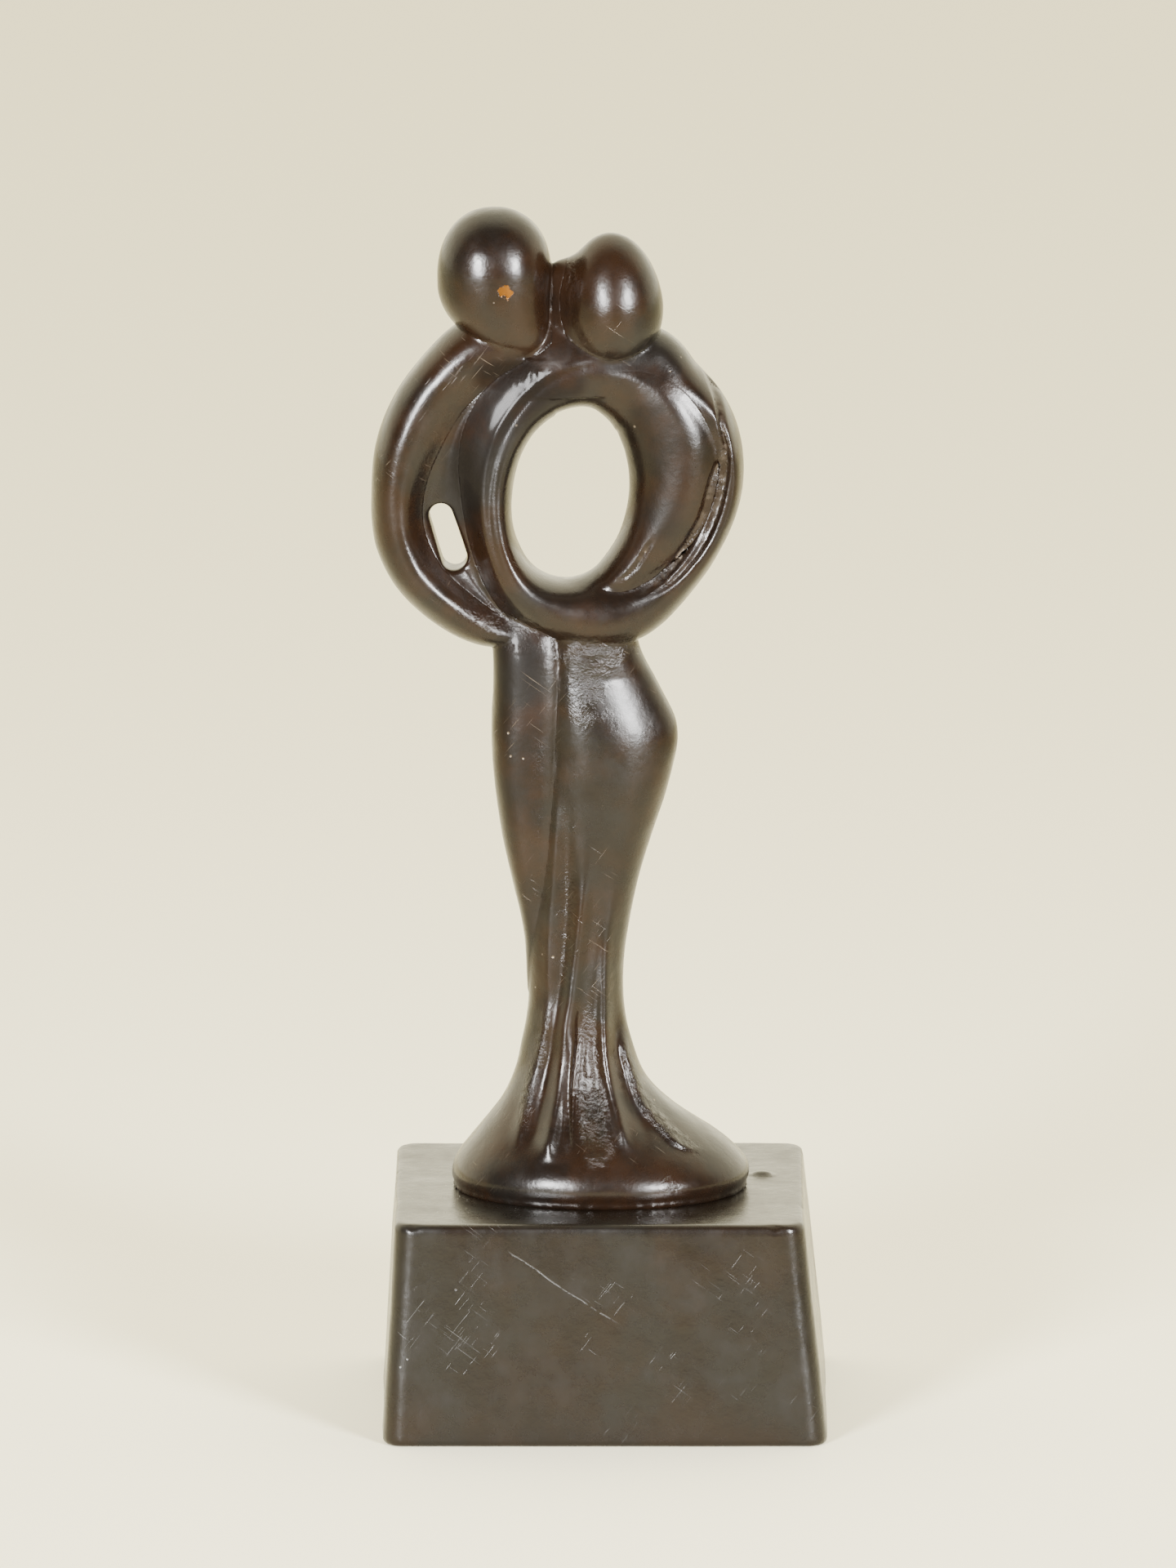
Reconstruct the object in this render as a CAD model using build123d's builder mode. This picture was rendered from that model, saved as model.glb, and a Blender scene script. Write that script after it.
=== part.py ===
"""A cast bronze figurine of two standing figures in an embrace, on a hollow bronze plinth.

Millimetres. +X runs to the viewer's right, +Y away from the viewer and +Z up. The origin is the
middle of the underside, on the surface that the plinth stands on. The figures are sections of
solid bronze, fitted to one another along their creases: two heads and the bridge between them,
the left figure's bowed back, the ring that the embracing arms make, a second band inside that
ring, a thin web beside it, the left figure's leg, and the skirted body that stands on the plinth.
Two screws from inside the plinth hold the body down.
"""

import os
from math import cos, radians, sin

from build123d import *

# Driving dimensions
plinth_height = 55.0
plinth_top_width, plinth_top_depth = 100.0, 88.0
splay_left, splay_right, splay_depth = 3.3, 6.2, 4.2  # each side's lean, from top to bottom
plinth_wall, plinth_roof = 6.0, 7.0
plinth_corner_radius, plinth_top_radius, plinth_foot_radius = 4.0, 1.5, 2.5
cavity_corner_radius = 3.0

screw_diameter, screw_length = 5.0, 16.0
screw_hole_radius = 2.75
screw_head_radius, screw_head_height = 4.6, 3.5  # the hexagon's radius is to its corners
washer_radius, washer_thickness = 6.0, 1.2
screw_spacing = 36.0
tapped_depth = 10.0

roof_underside = plinth_height - plinth_roof
screw_head_top = roof_underside - washer_thickness

# Each band is a run of oval sections: the place of its centre, across and up, then half its width
# in the plane of the figure and half its depth from front to back.
ring_stations = [
    (-1.5, 259.6, 9.0, 9.4),
    (10.0, 261.4, 9.8, 9.6),
    (20.8, 255.8, 9.0, 10.2),
    (27.8, 245.6, 7.0, 10.6),
    (30.0, 234.0, 5.6, 10.4),
    (27.4, 221.4, 5.8, 10.4),
    (19.4, 208.8, 6.6, 10.8),
    (7.6, 200.6, 7.6, 11.6),
    (-6.0, 198.8, 8.0, 12.0),
    (-17.6, 203.2, 7.2, 11.6),
    (-25.2, 213.0, 6.2, 11.0),
    (-27.6, 225.0, 5.9, 10.6),
    (-27.4, 238.4, 7.2, 10.4),
    (-22.8, 249.8, 8.6, 10.0),
    (-13.4, 257.2, 9.0, 9.6),
]
ring_join = 8  # the station at the foot of the ring, where its two halves meet
back_stations = [
    (-22.0, 265.0, 8.0, 8.8),
    (-32.2, 261.4, 9.0, 9.2),
    (-40.8, 252.2, 8.8, 10.4),
    (-46.6, 240.2, 8.2, 10.4),
    (-49.7, 228.0, 6.2, 10.0),
    (-48.6, 215.4, 5.7, 9.6),
    (-43.2, 204.6, 5.6, 9.2),
    (-34.2, 196.6, 5.0, 8.8),
    (-23.6, 193.2, 3.8, 7.5),
    (-14.5, 192.4, 1.6, 4.0),
]
inner_band_stations = [
    (-3.0, 256.0, 5.0, 7.0),
    (6.0, 254.6, 8.0, 9.6),
    (13.6, 248.6, 10.2, 11.4),
    (17.2, 238.6, 10.2, 12.2),
    (16.4, 228.0, 8.8, 12.2),
    (11.4, 217.6, 6.2, 11.6),
    (4.6, 209.4, 3.4, 10.4),
]

# The bodies are stacks of level oval sections: height, left edge, right edge, half the depth.
body_sections = [
    (55.0, -34.6, 34.6, 26.4),
    (57.0, -36.2, 36.4, 28.0),
    (60.0, -35.8, 36.4, 28.0),
    (64.0, -33.6, 33.6, 26.2),
    (68.0, -30.8, 28.6, 23.6),
    (72.0, -27.4, 22.0, 20.4),
    (77.0, -23.4, 15.6, 17.0),
    (84.0, -20.6, 10.2, 13.8),
    (94.0, -18.6, 7.2, 11.4),
    (106.0, -17.2, 5.8, 10.2),
    (117.0, -17.4, 6.6, 10.0),
    (130.0, -16.6, 9.2, 10.4),
    (145.0, -15.8, 13.6, 11.4),
    (158.0, -15.0, 17.4, 12.4),
    (168.0, -14.4, 19.2, 12.8),
    (176.0, -13.8, 17.0, 12.4),
    (184.0, -13.0, 12.8, 11.4),
    (196.0, -12.4, 8.8, 9.4),
]
leg_sections = [
    (108.0, -17.4, -15.4, 1.4),
    (117.0, -18.3, -12.0, 4.2),
    (130.0, -20.8, -9.0, 7.2),
    (145.0, -24.0, -8.0, 9.2),
    (158.0, -25.9, -7.0, 10.2),
    (168.0, -26.6, -6.5, 10.4),
    (178.0, -26.2, -6.5, 10.2),
    (197.0, -26.9, -7.0, 8.6),
]

# The web closes most of the gap between the bowed back and the ring, around an upright slot.
web_outline = [
    (-27, 258),
    (-38, 250),
    (-46, 238),
    (-50, 226),
    (-48, 212),
    (-40, 201),
    (-26, 194),
    (-18, 198),
    (-27, 212),
    (-29, 226),
    (-29, 242),
]
web_thickness, web_corner_radius = 10.0, 2.0
slot_middle, slot_length, slot_width, slot_lean = (-37.3, 218.2), 17.6, 6.6, 17.5

# Each head is an egg about its own leaning axis, widest at its middle.
left_head_middle, left_head_lean = (-25.6, 282.6), 8.0
left_head_radius, left_head_rise, left_head_drop = 13.7, 17.6, 19.4
right_head_middle, right_head_lean = (3.6, 276.0), 4.0
right_head_radius, right_head_rise, right_head_drop = 12.0, 18.4, 15.0
oval_handle = 0.552  # the share of its radius that a quarter ellipse's Bezier handle takes
# The bridge between the heads: height, left edge, right edge, half the depth.
bridge_sections = [
    (258.0, -21.0, 2.0, 8.4),
    (264.0, -19.0, 0.0, 7.6),
    (272.0, -16.0, -3.5, 5.8),
    (280.0, -14.5, -4.6, 4.4),
    (287.0, -13.0, -6.5, 2.4),
]


def band_section(before, here, after):
    """A band's oval section at one station, square to the line between its two neighbours."""
    across, up, half_width, half_depth = here
    along = Vector(after[0] - before[0], 0, after[1] - before[1])
    outwards = along.cross(Vector(0, 1, 0))
    with BuildSketch(Plane(origin=(across, 0, up), x_dir=outwards, z_dir=along)) as section:
        Ellipse(half_width, half_depth)
    return section.sketch


def open_band(stations):
    """The sections of a band that has two ends."""
    befores = [stations[0], *stations[:-1]]
    afters = [*stations[1:], stations[-1]]
    return [band_section(*places) for places in zip(befores, stations, afters)]


def closed_band(stations):
    """The sections of a band that runs round to its own start."""
    befores = [stations[-1], *stations[:-1]]
    afters = [*stations[1:], stations[0]]
    return [band_section(*places) for places in zip(befores, stations, afters)]


def level_sections(stack):
    """The level oval sections of a body, from the bottom up."""
    sections = []
    for height, left, right, half_depth in stack:
        with BuildSketch(Plane.XY.offset(height)) as section:
            with Locations(((left + right) / 2, 0)):
                Ellipse((right - left) / 2, half_depth)
        sections.append(section.sketch)
    return sections


def plinth_section(height, inset, corner_radius):
    """The plinth's outline at one height, drawn in by inset all round."""
    lean = 1 - height / plinth_height
    left = plinth_top_width / 2 + splay_left * lean - inset
    right = plinth_top_width / 2 + splay_right * lean - inset
    depth = plinth_top_depth + 2 * (splay_depth * lean - inset)
    with BuildSketch(Plane.XY.offset(height)) as section:
        with Locations(((right - left) / 2, 0)):
            RectangleRounded(left + right, depth, corner_radius)
    return section.sketch


def egg_quarter(radius, height):
    """The Bezier points of a quarter of an ellipse, from the widest place to the tip."""
    return (radius, 0), (radius, height * oval_handle), (radius * oval_handle, height), (0, height)


def head_plane(middle, lean):
    """The upright plane of a head's outline, its top leaning to the left by lean degrees."""
    level = (cos(radians(lean)), 0, sin(radians(lean)))
    return Plane(origin=(middle[0], 0, middle[1]), x_dir=level, z_dir=(0, -1, 0))


# The ring that the embracing arms make
with BuildPart() as embrace_ring:
    ring_sections = closed_band(ring_stations)
    loft(ring_sections[: ring_join + 1])
    loft([*ring_sections[ring_join:], ring_sections[0]])

# The second band, inside the ring's right side
with BuildPart() as inner_band:
    loft(open_band(inner_band_stations))
    add(embrace_ring.part, mode=Mode.SUBTRACT)

# The left figure's bowed back
with BuildPart() as bowed_back:
    loft(open_band(back_stations))
    add(embrace_ring.part, mode=Mode.SUBTRACT)

# The web beside the ring, with its slot
with BuildPart() as side_web:
    with BuildSketch(Plane.XZ):
        with BuildLine():
            Polyline(*web_outline, close=True)
        make_face()
        fillet(vertices(), radius=web_corner_radius)
        with Locations(slot_middle):
            SlotOverall(slot_length, slot_width, rotation=90 + slot_lean, mode=Mode.SUBTRACT)
    extrude(amount=web_thickness / 2, both=True)
    add(embrace_ring.part, mode=Mode.SUBTRACT)
    add(bowed_back.part, mode=Mode.SUBTRACT)

# The body that stands on the plinth, tapped for the two screws
with BuildPart() as skirted_body:
    loft(level_sections(body_sections))
    add(embrace_ring.part, mode=Mode.SUBTRACT)
    with BuildSketch(Plane.XY.offset(plinth_height)):
        with GridLocations(screw_spacing, 0, 2, 1):
            Circle(screw_diameter / 2)
    extrude(amount=tapped_depth, mode=Mode.SUBTRACT)

# The left figure's leg
with BuildPart() as left_leg:
    loft(level_sections(leg_sections))
    add(embrace_ring.part, mode=Mode.SUBTRACT)
    add(bowed_back.part, mode=Mode.SUBTRACT)
    add(side_web.part, mode=Mode.SUBTRACT)
    add(skirted_body.part, mode=Mode.SUBTRACT)

# Heads
with BuildPart() as left_head:
    left_plane = head_plane(left_head_middle, left_head_lean)
    with BuildSketch(left_plane):
        with BuildLine():
            Bezier(*egg_quarter(left_head_radius, -left_head_drop))
            Bezier(*egg_quarter(left_head_radius, left_head_rise))
            Line((0, left_head_rise), (0, -left_head_drop))
        make_face()
    revolve(axis=Axis(left_plane.origin, left_plane.y_dir))
    add(embrace_ring.part, mode=Mode.SUBTRACT)
    add(bowed_back.part, mode=Mode.SUBTRACT)

with BuildPart() as right_head:
    right_plane = head_plane(right_head_middle, right_head_lean)
    with BuildSketch(right_plane):
        with BuildLine():
            Bezier(*egg_quarter(right_head_radius, -right_head_drop))
            Bezier(*egg_quarter(right_head_radius, right_head_rise))
            Line((0, right_head_rise), (0, -right_head_drop))
        make_face()
    revolve(axis=Axis(right_plane.origin, right_plane.y_dir))
    add(embrace_ring.part, mode=Mode.SUBTRACT)
    add(inner_band.part, mode=Mode.SUBTRACT)

with BuildPart() as head_bridge:
    loft(level_sections(bridge_sections))
    add(embrace_ring.part, mode=Mode.SUBTRACT)
    add(bowed_back.part, mode=Mode.SUBTRACT)
    add(left_head.part, mode=Mode.SUBTRACT)
    add(right_head.part, mode=Mode.SUBTRACT)

# Plinth: a hollow casting, open beneath, its roof drilled for the two screws
with BuildPart() as plinth:
    loft(
        [
            plinth_section(0, 0, plinth_corner_radius),
            plinth_section(plinth_height, 0, plinth_corner_radius),
        ]
    )
    fillet(faces().sort_by(Axis.Z)[-1].edges(), radius=plinth_top_radius)
    fillet(faces().sort_by(Axis.Z)[0].edges(), radius=plinth_foot_radius)
    loft(
        [
            plinth_section(0, plinth_wall, cavity_corner_radius),
            plinth_section(roof_underside, plinth_wall, cavity_corner_radius),
        ],
        mode=Mode.SUBTRACT,
    )
    with BuildSketch(Plane.XY.offset(roof_underside)):
        with GridLocations(screw_spacing, 0, 2, 1):
            Circle(screw_hole_radius)
    extrude(amount=plinth_roof, mode=Mode.SUBTRACT)

# Fixings
with BuildPart() as washers:
    with BuildSketch(Plane.XY.offset(screw_head_top)):
        with GridLocations(screw_spacing, 0, 2, 1):
            Circle(washer_radius)
            Circle(screw_hole_radius, mode=Mode.SUBTRACT)
    extrude(amount=washer_thickness)

with BuildPart() as fixing_screws:
    with BuildSketch(Plane.XY.offset(screw_head_top)):
        with GridLocations(screw_spacing, 0, 2, 1):
            RegularPolygon(screw_head_radius, 6)
    extrude(amount=-screw_head_height)
    with BuildSketch(Plane.XY.offset(screw_head_top)):
        with GridLocations(screw_spacing, 0, 2, 1):
            Circle(screw_diameter / 2)
    extrude(amount=screw_length)

os.makedirs("parts", exist_ok=True)

embrace_ring.part.label = "embrace_ring"
export_step(embrace_ring.part, "parts/embrace_ring.step")
inner_band.part.label = "inner_band"
export_step(inner_band.part, "parts/inner_band.step")
bowed_back.part.label = "bowed_back"
export_step(bowed_back.part, "parts/bowed_back.step")
side_web.part.label = "side_web"
export_step(side_web.part, "parts/side_web.step")
skirted_body.part.label = "skirted_body"
export_step(skirted_body.part, "parts/skirted_body.step")
left_leg.part.label = "left_leg"
export_step(left_leg.part, "parts/left_leg.step")
left_head.part.label = "left_head"
export_step(left_head.part, "parts/left_head.step")
right_head.part.label = "right_head"
export_step(right_head.part, "parts/right_head.step")
head_bridge.part.label = "head_bridge"
export_step(head_bridge.part, "parts/head_bridge.step")
plinth.part.label = "plinth"
export_step(plinth.part, "parts/plinth.step")
washers.part.label = "washers"
export_step(washers.part, "parts/washers.step")
fixing_screws.part.label = "fixing_screws"
export_step(fixing_screws.part, "parts/fixing_screws.step")
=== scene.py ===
"""A patinated bronze figurine of two embracing figures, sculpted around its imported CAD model."""

from math import cos, pi, radians, sin

import bpy
import numpy as np
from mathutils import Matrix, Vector


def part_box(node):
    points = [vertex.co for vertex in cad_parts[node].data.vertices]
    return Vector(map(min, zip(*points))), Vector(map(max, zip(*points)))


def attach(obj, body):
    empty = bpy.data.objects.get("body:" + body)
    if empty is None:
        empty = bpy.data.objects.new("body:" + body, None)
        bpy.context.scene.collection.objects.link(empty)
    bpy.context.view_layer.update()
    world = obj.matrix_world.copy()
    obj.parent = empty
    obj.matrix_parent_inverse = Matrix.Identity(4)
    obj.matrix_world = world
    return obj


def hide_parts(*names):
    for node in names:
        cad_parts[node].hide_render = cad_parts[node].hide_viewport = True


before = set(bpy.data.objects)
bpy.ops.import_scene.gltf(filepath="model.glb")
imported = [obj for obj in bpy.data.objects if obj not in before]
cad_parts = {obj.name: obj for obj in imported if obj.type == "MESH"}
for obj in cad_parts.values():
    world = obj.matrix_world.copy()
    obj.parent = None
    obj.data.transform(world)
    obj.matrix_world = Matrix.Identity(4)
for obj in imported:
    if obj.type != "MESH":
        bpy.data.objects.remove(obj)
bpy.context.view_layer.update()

MM = 0.001
VOXEL = 0.55
PLINTH_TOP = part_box("plinth")[1][2] / MM

# ------------------------------------------------------------------------------------------------
# Smooth curves through a few stations


def spline_slopes(knots, values, closed):
    """The second derivatives of a cubic spline at its knots."""
    count = len(knots)
    gaps = np.diff(knots)
    matrix = np.zeros((count, count))
    right = np.zeros((count, values.shape[1]))
    rises = np.diff(values, axis=0) / gaps[:, None]
    for i in range(1, count - 1):
        matrix[i, i - 1 : i + 2] = gaps[i - 1], 2 * (gaps[i - 1] + gaps[i]), gaps[i]
        right[i] = 6 * (rises[i] - rises[i - 1])
    if closed:
        matrix[0, [0, 1]] = 2 * (gaps[0] + gaps[-1]), gaps[0]
        matrix[0, count - 2] = gaps[-1]
        right[0] = 6 * (rises[0] - rises[-1])
        matrix[-1, 0], matrix[-1, -1] = 1, -1
    else:
        matrix[0, 0] = matrix[-1, -1] = 1
    return np.linalg.solve(matrix, right)


class Spline:
    """A cubic spline through rows of numbers, by its own running length or a given knot column."""

    def __init__(self, rows, knots=None, closed=False):
        values = np.array(rows, float)
        if closed:
            values = np.vstack([values, values[:1]])
        if knots is None:
            steps = np.hypot(*np.diff(values[:, :2], axis=0).T)
            knots = np.concatenate([[0], np.cumsum(steps)])
        self.knots = np.array(knots, float)
        self.values = values
        self.bends = spline_slopes(self.knots, values, closed)
        self.closed = closed
        self.length = self.knots[-1]
        self.cubics = self.polynomials()

    def polynomials(self):
        """Each span's value as a cubic in the distance from its start, by rising power."""
        h = np.diff(self.knots)[:, None]
        low, high = self.values[:-1], self.values[1:]
        m0, m1 = self.bends[:-1], self.bends[1:]
        slope = (high - low) / h - h * (2 * m0 + m1) / 6
        return np.stack([low, slope, m0 / 2, (m1 - m0) / (6 * h)], -1)

    def span(self, t):
        """Which span each t is in, and how far along it."""
        i = np.clip(np.searchsorted(self.knots, t, side="right") - 1, 0, len(self.knots) - 2)
        return i, t - self.knots[i]

    def at(self, t):
        """The values at t."""
        i, b = self.span(t)
        c = self.cubics[i]
        b = b[:, None]
        return c[..., 0] + b * (c[..., 1] + b * (c[..., 2] + b * c[..., 3]))

    def path_at(self, t):
        """The first two values at t, with their first and second derivatives."""
        i, b = self.span(t)
        c = self.cubics[i, :2]
        b = b[:, None]
        place = c[..., 0] + b * (c[..., 1] + b * (c[..., 2] + b * c[..., 3]))
        first = c[..., 1] + b * (2 * c[..., 2] + 3 * b * c[..., 3])
        return place, first, 2 * c[..., 2] + 6 * b * c[..., 3]


def table(rows):
    """A function of height that runs smoothly through rows of height and value."""
    rows = sorted(rows)
    curve = Spline([row[1:] for row in rows], [row[0] for row in rows])
    low, high = rows[0][0], rows[-1][0]
    return lambda z: curve.at(np.clip(z, low, high))


def smooth_step(value, low, high):
    """How far a value is from low to high, from 0 to 1, eased at both ends."""
    s = np.clip((value - low) / (high - low), 0, 1)
    return s * s * (3 - 2 * s)


def swell(value, place, height, width):
    """A rounded rise of the given height and width around a place."""
    return height * np.exp(-(((value - place) / width) ** 2))


# ------------------------------------------------------------------------------------------------
# Solid shapes as distances in millimetres, negative inside


def oval_distance(offsets, radii, power=2.0):
    """About how far a point lies outside an oval with the given offsets and radii."""
    ratios = [np.abs(o) / r for o, r in zip(offsets, radii)]
    total = sum(r**power for r in ratios) + 1e-9
    q = total ** (1 / power)
    slopes = [(r / q) ** (power - 1) / radius for r, radius in zip(ratios, radii)]
    steep = np.sqrt(sum(s * s for s in slopes)) + 1e-9
    return (q - 1) / steep


class Band:
    """A limb whose front and back crest follows a curve in the plane of the figure.

    Each station is the crest's place across and up, how far the limb reaches to the curve's right
    and to its left, and how far it reaches from front to back on each side.
    """

    # A grid over the figure's plane holds the nearest place along the curve for each spot.
    STEP = 1.0
    LOW = np.array([-66.0, 182.0])
    SIZE = (112, 126)
    SAMPLES = 400
    LONGEST_MOVE = 3
    THINNEST = 0.6

    def __init__(self, stations, closed=False, power=2.0):
        self.curve = Spline(stations, closed=closed)
        self.power = power
        samples = np.linspace(0, self.curve.length, self.SAMPLES)
        places = self.curve.at(samples)[:, :2]
        gx, gz = np.meshgrid(*[np.arange(n) * self.STEP for n in self.SIZE], indexing="ij")
        spots = np.stack([gx, gz], -1).reshape(-1, 1, 2) + self.LOW
        nearest = ((spots - places) ** 2).sum(-1).argmin(1)
        self.start = samples[nearest].reshape(self.SIZE)

    def locate(self, p):
        """Where along the curve each point belongs, with its offsets from there."""
        spot = p[:, [0, 2]]
        cell = np.rint((spot - self.LOW) / self.STEP).astype(int)
        cell = np.clip(cell, 0, np.array(self.SIZE) - 1)
        t = self.start[cell[:, 0], cell[:, 1]]
        for _ in range(2):
            place, first, second = self.curve.path_at(t)
            gap = place - spot
            speed = (first * first).sum(1)
            bend = np.maximum(speed + (gap * second).sum(1), 0.3 * speed)
            move = (gap * first).sum(1) / bend
            t = t - np.clip(move, -self.LONGEST_MOVE, self.LONGEST_MOVE)
            if self.curve.closed:
                t = t % self.curve.length
            else:
                t = np.clip(t, 0, self.curve.length)
        row = self.curve.at(t)
        along = self.curve.path_at(t)[1]
        along /= np.linalg.norm(along, axis=1)[:, None]
        gap = spot - row[:, :2]
        across = gap[:, 1] * along[:, 0] - gap[:, 0] * along[:, 1]
        beyond = (gap * along).sum(1)
        return t, row, across, beyond

    def __call__(self, p):
        _, row, across, beyond = self.locate(p)
        right, left, depth = np.maximum(row[:, 2:5].T, self.THINNEST)
        side = np.where(across > 0, left, right)
        end = np.minimum(left, right)
        return oval_distance([across, beyond, p[:, 1]], [side, end, depth], self.power)


class Stack:
    """A body whose level sections are ovals.

    Each row is a height, the section's left and right edges, and half its depth.
    """

    LIFT = 0.2

    def __init__(self, rows, power=2.0):
        self.section = table(rows)
        self.low, self.high = min(r[0] for r in rows), max(r[0] for r in rows)
        self.power = power

    def ratio(self, p, lift=0.0):
        """How far out each point is, 1 at the surface, with what that was worked out from."""
        left, right, depth = self.section(p[:, 2] + lift).T
        middle, half = (left + right) / 2, (right - left) / 2
        a = np.abs(p[:, 0] - middle) / half
        b = np.abs(p[:, 1]) / depth
        return (a**self.power + b**self.power + 1e-9) ** (1 / self.power), half, depth, a, b

    def __call__(self, p):
        q, half, depth, a, b = self.ratio(p)
        rise = self.ratio(p, self.LIFT)[0] - self.ratio(p, -self.LIFT)[0]
        slope = rise / (2 * self.LIFT)
        gx = (a / q) ** (self.power - 1) / half
        gy = (b / q) ** (self.power - 1) / depth
        side = (q - 1) / np.sqrt(gx * gx + gy * gy + slope * slope)
        return np.maximum(side, np.maximum(self.low - p[:, 2], p[:, 2] - self.high))


class Egg:
    """A head: an egg about a leaning axis, drawn in towards its crown by taper.

    Below its middle, its axis bends to the right.
    """

    BEND_FROM, BEND_LIMIT = -3, 20

    def __init__(self, middle, lean, radius, depth, rise, drop, taper=0.0, bend=0.0, power=2.0):
        self.middle = middle
        self.lean = radians(lean)
        self.sizes = radius, depth, rise, drop
        self.taper = taper
        self.bend = bend
        self.power = power

    def __call__(self, p):
        radius, depth, rise, drop = self.sizes
        x, y, z = (p - self.middle).T
        x = x - self.bend * np.clip(self.BEND_FROM - z, 0, self.BEND_LIMIT) ** 2
        across = x * cos(self.lean) + z * sin(self.lean)
        up = z * cos(self.lean) - x * sin(self.lean)
        height = np.where(up > 0, rise, drop)
        narrow = 1 - self.taper * np.clip(up / rise, -1, 1)
        return oval_distance(
            [across, y, up], [radius * narrow, depth * narrow, height], self.power
        )


def join(a, b, soft):
    """The union of two shapes, with a fillet of about the given size in the crease."""
    near = np.maximum(soft - np.abs(a - b), 0)
    return np.minimum(a, b) - near * near / (4 * soft)


def carve(a, b, soft):
    """Shape a with shape b cut out of it, the cut's rim softened."""
    return -join(-a, b, soft)


# ------------------------------------------------------------------------------------------------
# The sculpture's limbs, in millimetres in the CAD model's frame

ring = Band(
    [
        # across, up, reach inwards, reach outwards, half depth
        (-0.8, 198.6, 10.6, 7.8, 12.0),
        (-10.8, 201.1, 6.6, 8.2, 11.8),
        (-17.8, 205.5, 4.7, 7.4, 11.4),
        (-22.4, 213.0, 3.6, 6.8, 11.0),
        (-24.8, 222.0, 3.5, 7.0, 10.8),
        (-25.2, 230.2, 3.9, 8.2, 10.6),
        (-24.0, 238.4, 4.5, 10.8, 10.4),
        (-21.2, 245.8, 5.2, 12.0, 10.2),
        (-16.6, 252.4, 6.2, 12.0, 10.0),
        (-10.6, 257.6, 8.3, 11.4, 9.8),
        (-3.4, 260.4, 9.6, 10.0, 9.6),
        (4.4, 260.8, 9.0, 9.6, 9.6),
        (12.2, 260.6, 9.0, 9.6, 9.8),
        (19.4, 256.8, 9.4, 6.4, 10.2),
        (26.4, 251.0, 7.4, 4.4, 10.4),
        (30.9, 243.8, 6.0, 3.2, 10.4),
        (32.5, 235.6, 5.4, 2.9, 10.4),
        (31.4, 227.2, 5.4, 3.0, 10.4),
        (28.0, 218.9, 5.6, 3.2, 10.6),
        (22.6, 211.4, 6.2, 4.1, 11.0),
        (15.0, 204.8, 7.2, 6.2, 11.4),
        (7.2, 200.2, 9.0, 8.0, 11.8),
    ],
    closed=True,
    power=2.1,
)
inner_band = Band(
    [
        (-12.0, 256.4, 3.0, 3.0, 5.0),
        (-3.0, 259.6, 10.3, 3.6, 8.2),
        (7.0, 259.6, 14.6, 5.4, 10.4),
        (14.8, 255.4, 15.3, 8.8, 11.8),
        (19.4, 248.6, 15.6, 11.0, 12.5),
        (21.2, 241.0, 15.3, 11.6, 12.7),
        (20.4, 233.0, 14.1, 11.8, 12.5),
        (17.7, 226.0, 11.7, 11.6, 12.1),
        (13.7, 219.2, 8.8, 10.8, 11.5),
        (9.2, 213.2, 6.6, 9.6, 10.7),
        (4.4, 208.4, 5.3, 8.0, 9.7),
        (-1.4, 205.0, 3.6, 4.6, 7.4),
        (-8.0, 203.6, 2.0, 2.6, 5.0),
    ],
    power=1.85,
)
bowed_back = Band(
    [
        (-14.0, 192.6, 1.2, 1.2, 5.0),
        (-20.8, 193.6, 2.6, 2.8, 7.4),
        (-28.4, 196.4, 4.2, 5.0, 8.8),
        (-36.6, 201.8, 4.8, 6.0, 9.6),
        (-44.0, 209.0, 5.2, 6.6, 10.0),
        (-48.2, 217.6, 5.2, 6.8, 10.2),
        (-49.6, 227.0, 5.6, 6.3, 10.2),
        (-48.8, 236.4, 7.0, 6.6, 10.2),
        (-46.2, 245.6, 8.4, 6.8, 10.2),
        (-42.0, 253.4, 8.8, 6.8, 10.0),
        (-36.2, 260.0, 8.6, 7.2, 9.8),
        (-29.2, 264.8, 8.0, 8.2, 9.4),
        (-21.8, 267.0, 7.0, 7.0, 8.6),
    ],
    power=2.1,
)
web_sheet = Band(
    [
        (-17.0, 258.0, 8.0, 8.0, 5.6),
        (-25.0, 254.0, 9.0, 9.0, 5.4),
        (-33.0, 245.0, 9.0, 9.0, 5.0),
        (-38.4, 234.0, 9.5, 9.5, 4.4),
        (-39.6, 222.0, 9.5, 9.5, 4.0),
        (-36.8, 210.0, 9.0, 9.0, 4.0),
        (-29.5, 202.0, 8.0, 8.0, 4.2),
        (-20.0, 197.4, 5.0, 5.0, 4.2),
    ]
)
# The slot is cut right through, so its depth is beyond the web's.
slot = Band(
    [(-35.5, 213.4, 3.0, 3.0, 400), (-37.2, 218.8, 3.0, 3.0, 400), (-38.8, 224.0, 2.9, 2.9, 400)]
)
SLOT_RIM = 1.2
left_head = Egg((-25.6, -0.6, 283.6), 0, 14.0, 13.2, 16.7, 21.0, bend=0.026, power=2.15)
right_head = Egg((3.5, -2.0, 276.8), 4, 12.0, 12.4, 17.4, 15.6, taper=0.06)
bridge = Band(
    [
        (-9.0, 250.0, 9.0, 9.0, 5.0),
        (-9.0, 257.0, 8.4, 8.6, 7.4),
        (-9.2, 263.0, 7.0, 7.4, 7.8),
        (-9.4, 269.0, 5.6, 5.6, 5.8),
        (-9.6, 276.0, 4.6, 4.2, 4.2),
        (-9.6, 283.0, 4.0, 3.6, 3.4),
    ]
)
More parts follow.
